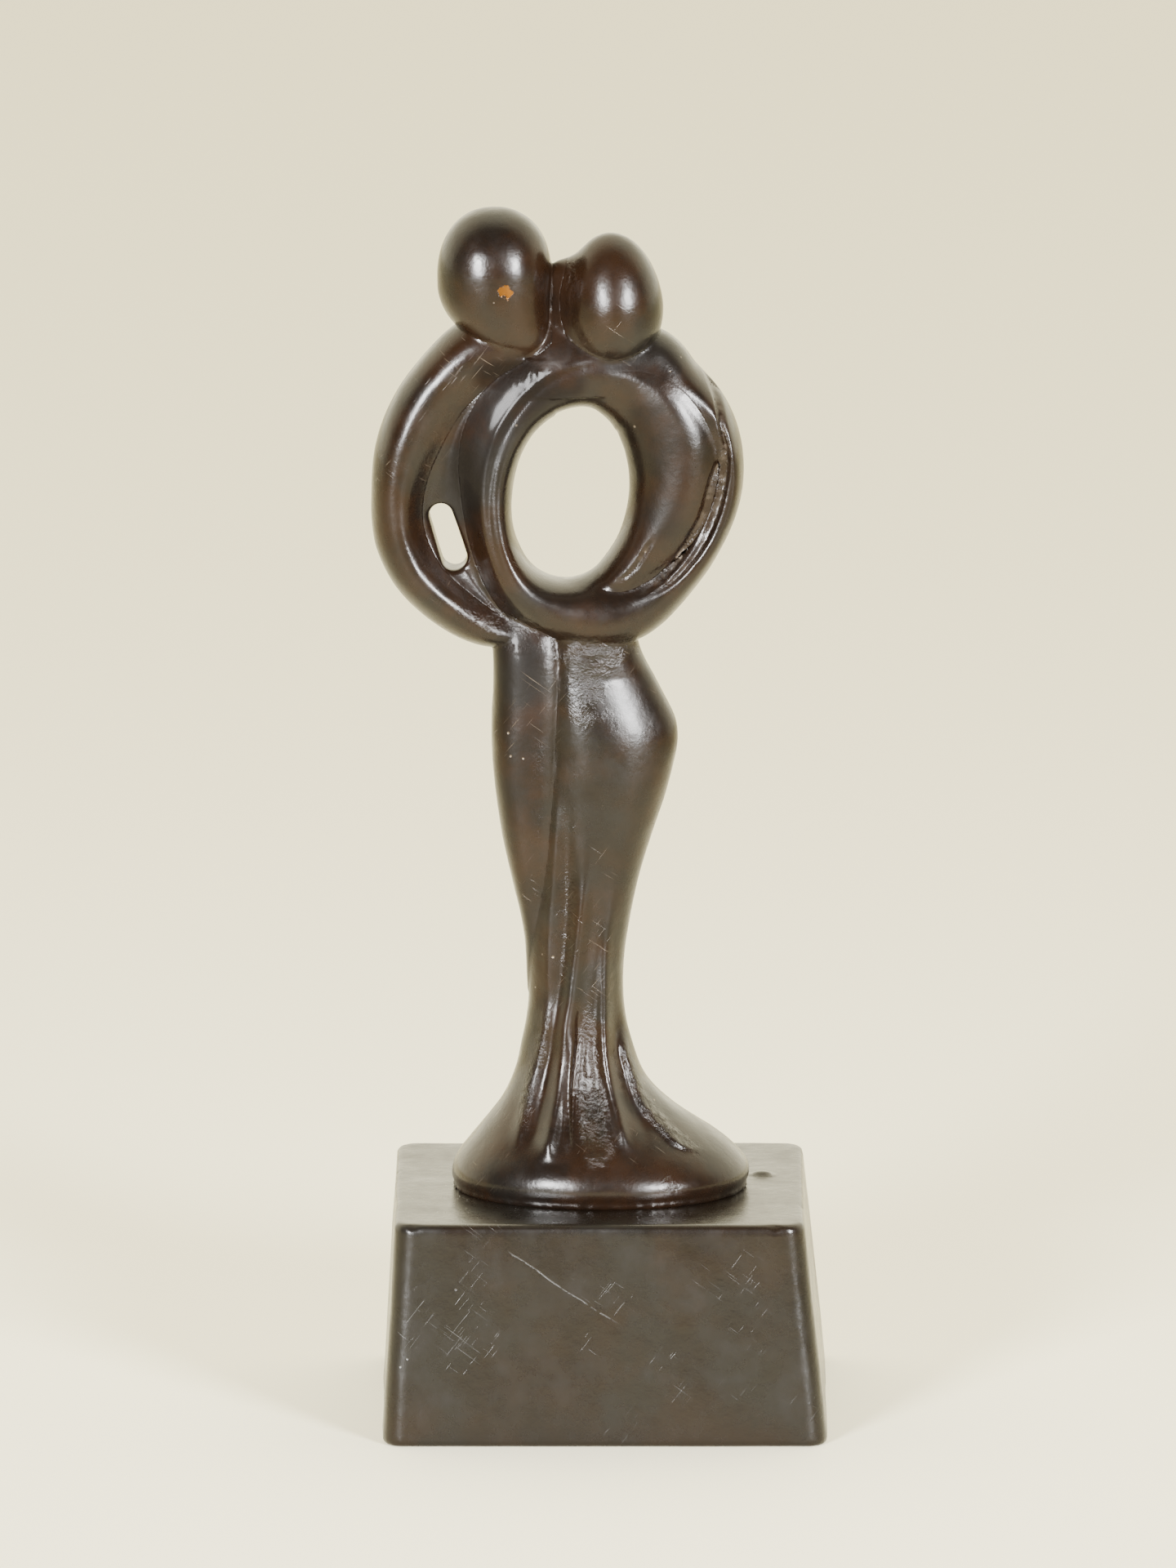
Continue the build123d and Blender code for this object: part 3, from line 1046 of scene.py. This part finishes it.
CHIP = (-0.023, -0.0128, 0.2818)
CHIP_RADIUS = 0.0019
CHIP_WANDER = (0.0048,) * 3
GOLD = (0.150, 0.058, 0.009, 1)
SCRATCH_START = -0.0228, -0.046, 0.0490
SCRATCH_ACROSS = 0.563, 0.0, 0.826
SCRATCH_ALONG = 0.826, 0.0, -0.563
SCRATCH_LENGTH = 0.034
SCRATCH_FRONT = -0.036
# The dark of fine mottling and of sharp crests
MOTTLE = (0.0042, 0.0030, 0.0024, 1)
CREST = (0.0036, 0.0028, 0.0022, 1)
# Two sets of hairlines: their lean in degrees, and their length, depth and width
HAIRLINES = (36, (0.012, 0.004, 0.0003)), (-52, (0.009, 0.004, 0.00026))


def chip(tree, place):
    """A chip in the left head's patina that bares the golden metal."""
    cloud = add(tree, "TexNoise", {"Vector": place, "Scale": 520.0, "Detail": 4.0}, output=1)
    wander = add(tree, "VectorMath", {0: cloud, 1: (0.5, 0.5, 0.5)}, operation="SUBTRACT")
    inputs = {0: wander, 1: CHIP_WANDER, 2: place}
    moved = add(tree, "VectorMath", inputs, operation="MULTIPLY_ADD")
    gap = add(tree, "VectorMath", {0: moved, 1: CHIP}, output=1, operation="DISTANCE")
    return calc(tree, "SUBTRACT", 1.0, between(tree, gap, CHIP_RADIUS * 0.85, CHIP_RADIUS))


def long_scratch(tree, place):
    """The one long scratch down the plinth's front, wavering and broken."""
    offset = add(tree, "VectorMath", {0: place, 1: SCRATCH_START}, operation="SUBTRACT")
    across, along = (
        add(tree, "VectorMath", {0: offset, 1: way}, output=1, operation="DOT_PRODUCT")
        for way in (SCRATCH_ACROSS, SCRATCH_ALONG)
    )
    waver = calc(tree, "SUBTRACT", grain(tree, place, 90, 2.0), 0.5)
    off = calc(tree, "ADD", across, calc(tree, "MULTIPLY", waver, 0.0016))
    line = between(tree, calc(tree, "ABSOLUTE", off), 0.00005, 0.00022)
    line = calc(tree, "SUBTRACT", 1.0, line)
    start = between(tree, along, 0.0, 0.003)
    end = between(tree, along, SCRATCH_LENGTH, 0.028)
    depth = add(tree, "SeparateXYZ", {0: place}, output=1)
    shown = [
        calc(tree, "MULTIPLY", start, end),
        calc(tree, "LESS_THAN", depth, SCRATCH_FRONT),
        between(tree, grain(tree, place, 600, 2.0), 0.35, 0.5),
    ]
    for share in shown:
        line = calc(tree, "MULTIPLY", line, share)
    return line


def scratches(tree, place):
    """Patches of hairlines, and the long scratch."""
    first, second = (hairlines(tree, place, turn, size) for turn, size in HAIRLINES)
    patches = between(tree, grain(tree, place, 45, 2.0), 0.52, 0.68)
    lines = calc(tree, "MULTIPLY", calc(tree, "MAXIMUM", first, second), patches)
    return calc(tree, "MAXIMUM", lines, long_scratch(tree, place))


def pits(tree, place):
    """Small round spots in scattered patches, where the patina has flaked off."""
    spots = add(tree, "TexVoronoi", {"Vector": place, "Scale": 260.0})
    spots = calc(tree, "SUBTRACT", 1.0, between(tree, spots, 0.05, 0.11))
    patches = between(tree, grain(tree, place, 70, 2.0), 0.63, 0.69)
    return calc(tree, "MULTIPLY", spots, patches)


def bare_metal(tree, place, wear_range, lines, specks):
    """How bare the metal is: bright in its creases, scratched, chiselled and flaked."""
    uneven_wear = calc(tree, "MULTIPLY", grain(tree, place, 160, 5.0), 0.22)
    bright = between(tree, calc(tree, "ADD", mark(tree, "crease"), uneven_wear), *wear_range)
    broken = between(tree, grain(tree, place, 500, 3.0), 0.4, 0.6)
    chiselled = calc(tree, "MULTIPLY", mark(tree, "cut"), broken)
    bright = calc(tree, "MULTIPLY", bright, 0.6)
    bare = calc(tree, "MAXIMUM", bright, calc(tree, "MULTIPLY", lines, 0.4))
    inputs = {0: bare, 1: calc(tree, "MULTIPLY", chiselled, 0.12)}
    bare = add(tree, "Math", inputs, operation="MAXIMUM", use_clamp=True)
    return calc(tree, "MAXIMUM", bare, specks)


def skin(tree, place, lines, specks, chipped):
    """The normals of the patina's grain, with scratches, pits and the chip sunk into it."""
    orange_peel = bump(tree, grain(tree, place, 240, 5.0, 0.6), 0.22, 0.0006)
    rough = calc(tree, "ADD", mark(tree, "rough"), 0.06)
    fine = bump(tree, grain(tree, place, 1500, 3.0, 0.6), rough, 0.00035, orange_peel)
    sunk = calc(tree, "MULTIPLY", specks, 2.0)
    sunk = calc(tree, "ADD", sunk, calc(tree, "MULTIPLY", chipped, 3.0))
    sunk = calc(tree, "MULTIPLY", calc(tree, "ADD", lines, sunk), -1.0)
    return bump(tree, sunk, 0.5, 0.0001, fine)


def patina(name, umber, chestnut, bloom, worn, wear_range, bloom_range):
    """A waxed bronze patina, clouded from umber to chestnut, dark on crests and bared in creases."""
    material = bpy.data.materials.new(name)
    material.use_nodes = True
    tree = material.node_tree
    shader = tree.nodes["Principled BSDF"].inputs
    place = add(tree, "TexCoord", output=3)

    clouds = between(tree, grain(tree, place, 55, 6.0, 0.62), 0.36, 0.66)
    colour = blend(tree, clouds, umber, chestnut)
    blooms = between(tree, grain(tree, place, 32, 5.0, 0.6), *bloom_range)
    colour = blend(tree, blooms, colour, bloom)
    mottle = between(tree, grain(tree, place, 420, 4.0, 0.7), 0.55, 0.75)
    colour = blend(tree, calc(tree, "MULTIPLY", mottle, 0.35), colour, MOTTLE)
    crest = between(tree, mark(tree, "crease"), -0.12, -0.6)
    colour = blend(tree, calc(tree, "MULTIPLY", crest, 0.7), colour, CREST)
    lines = scratches(tree, place)
    specks = pits(tree, place)
    bare = bare_metal(tree, place, wear_range, lines, specks)
    chipped = chip(tree, place)
    colour = blend(tree, chipped, blend(tree, bare, colour, worn), GOLD)
    tree.links.new(colour, shader["Base Color"])

    shown = calc(tree, "MAXIMUM", bare, chipped)
    metallic = add(tree, "MapRange", {"Value": shown, "To Min": 0.06, "To Max": 0.9})
    tree.links.new(metallic, shader["Metallic"])
    haze = grain(tree, place, 95, 6.0, 0.65)
    limits = {"From Min": 0.3, "From Max": 0.7, "To Min": 0.19, "To Max": 0.36}
    sheen = add(tree, "MapRange", {"Value": haze, **limits})
    sheen = calc(tree, "SUBTRACT", sheen, calc(tree, "MULTIPLY", mark(tree, "rough"), 0.06))
    sheen = calc(tree, "ADD", sheen, calc(tree, "MULTIPLY", mark(tree, "dull"), 0.24))
    tree.links.new(sheen, shader["Roughness"])
    gloss = add(tree, "MapRange", {"Value": mark(tree, "dull"), "To Min": 0.23, "To Max": 0.03})
    tree.links.new(gloss, shader["Specular IOR Level"])
    shader["Coat Weight"].default_value = 0.08
    shader["Coat Roughness"].default_value = 0.12
    tree.links.new(skin(tree, place, lines, specks, chipped), shader["Normal"])
    return material


ZINC_GREY, ZINC_YELLOW = (0.42, 0.43, 0.45, 1), (0.58, 0.55, 0.46, 1)


def zinc():
    """Zinc-plated steel, cloudy and faintly yellowed."""
    material = bpy.data.materials.new("zinc_steel")
    material.use_nodes = True
    tree = material.node_tree
    shader = tree.nodes["Principled BSDF"].inputs
    place = add(tree, "TexCoord", output=3)
    clouds = grain(tree, place, 400, 4.0, 0.6)
    colour = blend(tree, between(tree, clouds, 0.3, 0.7), ZINC_GREY, ZINC_YELLOW)
    tree.links.new(colour, shader["Base Color"])
    shader["Metallic"].default_value = 1.0
    sheen = add(tree, "MapRange", {"Value": clouds, "To Min": 0.28, "To Max": 0.48})
    tree.links.new(sheen, shader["Roughness"])
    tree.links.new(bump(tree, grain(tree, place, 2500, 2.0), 0.2, 0.0001), shader["Normal"])
    return material


figure_patina = patina(
    "figure_patina",
    umber=(0.0040, 0.0025, 0.0017, 1),
    chestnut=(0.0095, 0.0042, 0.0018, 1),
    bloom=(0.0045, 0.0035, 0.0028, 1),
    worn=(0.15, 0.12, 0.09, 1),
    wear_range=(0.22, 0.60),
    bloom_range=(0.50, 0.66),
)
plinth_patina = patina(
    "plinth_patina",
    umber=(0.0050, 0.0034, 0.0022, 1),
    chestnut=(0.0075, 0.0044, 0.0025, 1),
    bloom=(0.0056, 0.0045, 0.0034, 1),
    worn=(0.11, 0.11, 0.11, 1),
    wear_range=(0.22, 0.50),
    bloom_range=(0.46, 0.62),
)

for name in ORDER + ["plinth"]:
    piece = add_mesh("cast_" + name, *sculpt(name))
    piece.data.materials.append(plinth_patina if name == "plinth" else figure_patina)
    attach(piece, "root")
    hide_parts(name)

zinc_steel = zinc()
for name in ("washers", "fixing_screws"):
    for material_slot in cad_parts[name].material_slots:
        material_slot.material = zinc_steel

# ------------------------------------------------------------------------------------------------
# Stage

FLOOR_REACH = 4
FLOOR_COLOUR = (0.93, 0.87, 0.64, 1)
# The room is dim in front of the object and bright behind it.
ROOM_FRONT, ROOM_BACK = (0.035, 0.031, 0.024, 1), (1.0, 0.93, 0.66, 1)
ROOM_TURN = 0.35
ROOM_STRENGTH = 4.0

floor_turns = (-1, -1), (1, -1), (1, 1), (-1, 1)
floor_corners = [(x * FLOOR_REACH, y * FLOOR_REACH, 0) for x, y in floor_turns]
floor_mesh = bpy.data.meshes.new("floor")
floor_mesh.from_pydata(floor_corners, [], [(0, 1, 2, 3)])
floor = bpy.data.objects.new("floor", floor_mesh)
bpy.context.collection.objects.link(floor)
pale = bpy.data.materials.new("pale_floor")
pale.use_nodes = True
pale_inputs = pale.node_tree.nodes["Principled BSDF"].inputs
pale_inputs["Base Color"].default_value = FLOOR_COLOUR
pale_inputs["Roughness"].default_value = 0.8
floor_mesh.materials.append(pale)

world = bpy.data.worlds.new("studio")
bpy.context.scene.world = world
world.use_nodes = True
sky = world.node_tree
facing = add(sky, "SeparateXYZ", {0: add(sky, "TexCoord", output=0)}, output=1)
background = sky.nodes["Background"].inputs
room = blend(sky, between(sky, facing, -ROOM_TURN, ROOM_TURN), ROOM_FRONT, ROOM_BACK)
sky.links.new(room, background["Color"])
background["Strength"].default_value = ROOM_STRENGTH

SOFTBOX_AIM = Vector((0, 0, 0.2))
SOFTBOX_SIZE = 0.40, 0.52
SOFTBOX_SPREAD = radians(45)
SOFTBOX_POWER = 8.5


def softbox(name, place):
    """A softbox with a narrow beam, turned towards the figure."""
    light = bpy.data.lights.new(name, "AREA")
    light.shape = "RECTANGLE"
    light.size, light.size_y = SOFTBOX_SIZE
    light.energy = SOFTBOX_POWER
    light.spread = SOFTBOX_SPREAD
    lamp = bpy.data.objects.new(name, light)
    lamp.location = place
    lamp.rotation_euler = (SOFTBOX_AIM - Vector(place)).to_track_quat("-Z", "Y").to_euler()
    bpy.context.collection.objects.link(lamp)


softbox("left_softbox", (-0.75, -1.5, 0.54))
softbox("right_softbox", (0.95, -1.4, 0.57))

TILT = radians(13)
DISTANCE = 9.0
AIM = Vector((-0.0028, 0, 0.1557))
camera_data = bpy.data.cameras.new("camera")
camera_data.sensor_fit = "VERTICAL"
camera_data.sensor_height = 36
camera_data.lens = 843
camera_data.clip_end = 20
camera = bpy.data.objects.new("camera", camera_data)
camera.location = AIM + Vector((0, -cos(TILT), sin(TILT))) * DISTANCE
camera.rotation_euler = (pi / 2 - TILT, 0, 0)
bpy.context.collection.objects.link(camera)
bpy.context.scene.camera = camera
